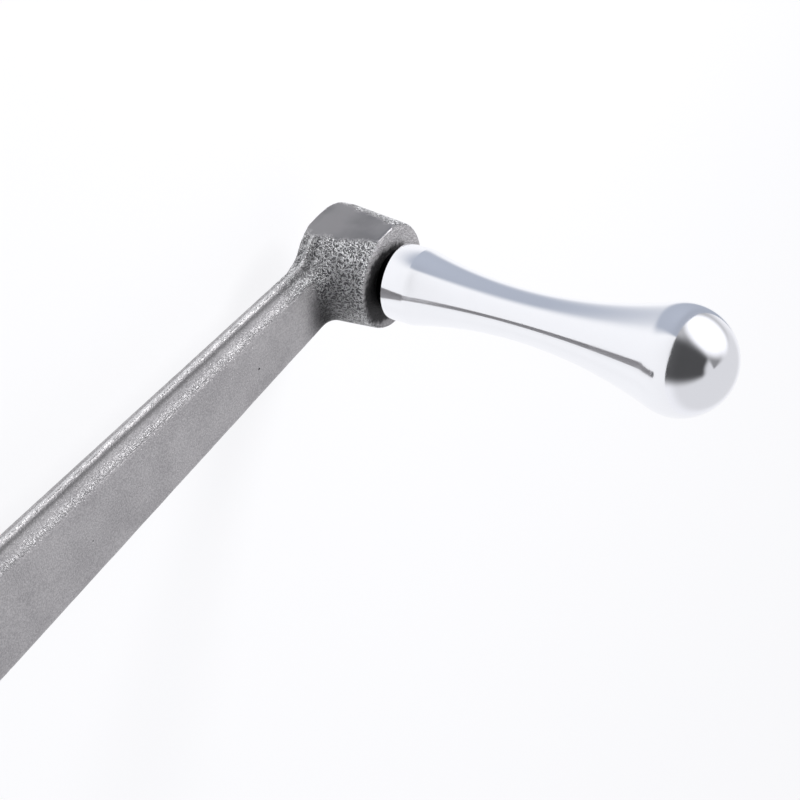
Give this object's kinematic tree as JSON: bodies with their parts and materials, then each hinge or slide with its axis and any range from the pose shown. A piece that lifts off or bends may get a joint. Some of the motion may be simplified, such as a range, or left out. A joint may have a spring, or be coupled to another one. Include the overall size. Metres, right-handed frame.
{
  "type": "crank handle",
  "caption": "Cast-iron machine crank: bored hub, flat tapered arm, and a revolving waisted metal grip with a ball end.",
  "frame": {"origin": "on the axis of the hub's bore, at the hub's shaft-side face", "axes": "+Z along the hub's bore, out of the hub on the grip's side; +X along the arm, from the hub to the grip; +Y completes the right-handed frame"},
  "size_m": [0.1927, 0.0344, 0.1175],
  "materials": {
    "cast_iron": "shot-blasted grey iron as cast, with machined hub faces and bore",
    "blackened_steel": "turned and blackened",
    "spring_steel": "hardened wire",
    "polished_aluminium": "turned and polished"
  },
  "bodies": {
    "crank": {"crank_arm": "cast_iron", "spindle": "blackened_steel", "snap_ring": "spring_steel"},
    "grip_body": {"grip": "polished_aluminium"}
  },
  "joints": [
    {"name": "grip_spin", "type": "hinge", "parent": "crank", "child": "grip_body", "pos_m": [0.16, 0, 0.034], "axis": [0, 0, 1], "continuous": true}
  ]
}
